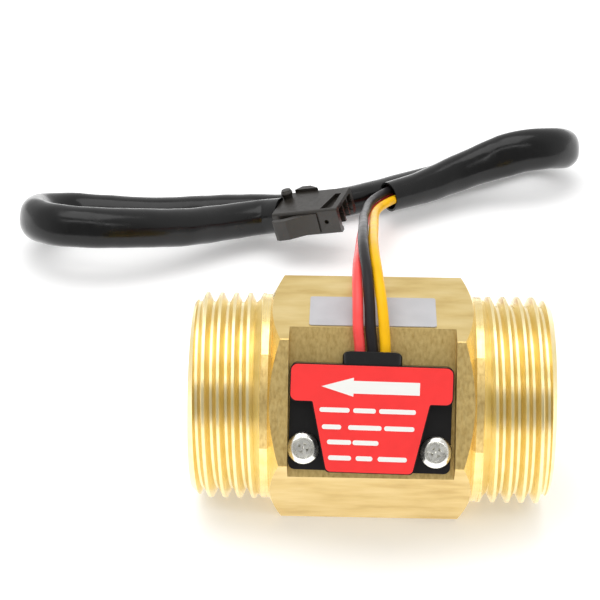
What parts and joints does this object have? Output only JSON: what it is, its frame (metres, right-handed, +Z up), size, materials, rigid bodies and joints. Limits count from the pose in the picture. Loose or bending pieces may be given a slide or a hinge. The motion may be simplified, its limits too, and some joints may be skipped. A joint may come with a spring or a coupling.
{
  "type": "turbine water flow sensor",
  "caption": "Brass turbine water flow sensor with a hexagonal middle, male pipe threads, a black sensor housing on one flat and a sleeved cable to a small connector.",
  "frame": {"origin": "centre of the hexagon's bottom flat, on the surface that the body rests on", "axes": "+X along the pipe towards the inlet, +Z up; the sensor faces -Y and 30 degrees up"},
  "size_m": [0.1153, 0.1411, 0.0413],
  "materials": {
    "brass": "satin, turned and milled",
    "guide_plastic": "moulded white",
    "rotor_plastic": "moulded ivory",
    "bearing_graphite": "graphite grey",
    "shaft_steel": "ground",
    "magnet": "nickel plated",
    "spring_steel": "spring steel",
    "housing_plastic": "fine grained black",
    "board": "lacquered",
    "chip": "moulded black",
    "screw_steel": "zinc plated",
    "gland_rubber": "moulded black",
    "red_label": "red sticker with a white arrow",
    "silver_label": "bare silver sticker",
    "red_insulation": "smooth vinyl",
    "black_insulation": "smooth vinyl",
    "yellow_insulation": "smooth vinyl",
    "sleeve_vinyl": "glossy black vinyl tube",
    "plug_plastic": "moulded black nylon",
    "terminal_metal": "tin plated"
  },
  "bodies": {
    "root": {"body": "brass", "inlet_guide": "guide_plastic", "outlet_support": "guide_plastic", "inlet_bearing": "bearing_graphite", "outlet_bearing": "bearing_graphite", "retaining_ring": "spring_steel", "sensor_housing": "housing_plastic", "circuit_board": "board", "hall_sensor": "chip", "screw_left": "screw_steel", "screw_right": "screw_steel", "wire_gland": "gland_rubber", "flow_label": "red_label", "silver_label": "silver_label", "red_wire": "red_insulation", "black_wire": "black_insulation", "yellow_wire": "yellow_insulation", "cable_sleeve": "sleeve_vinyl", "plug_housing": "plug_plastic", "terminal_near": "terminal_metal", "terminal_middle": "terminal_metal", "terminal_far": "terminal_metal"},
    "rotor": {"rotor": "rotor_plastic", "rotor_shaft": "shaft_steel", "magnet_front": "magnet", "magnet_rear": "magnet"}
  },
  "joints": [
    {"name": "rotor_spin", "type": "hinge", "parent": "root", "child": "rotor", "pos_m": [0, 0, 0.017], "axis": [1, 0, 0], "continuous": true}
  ]
}
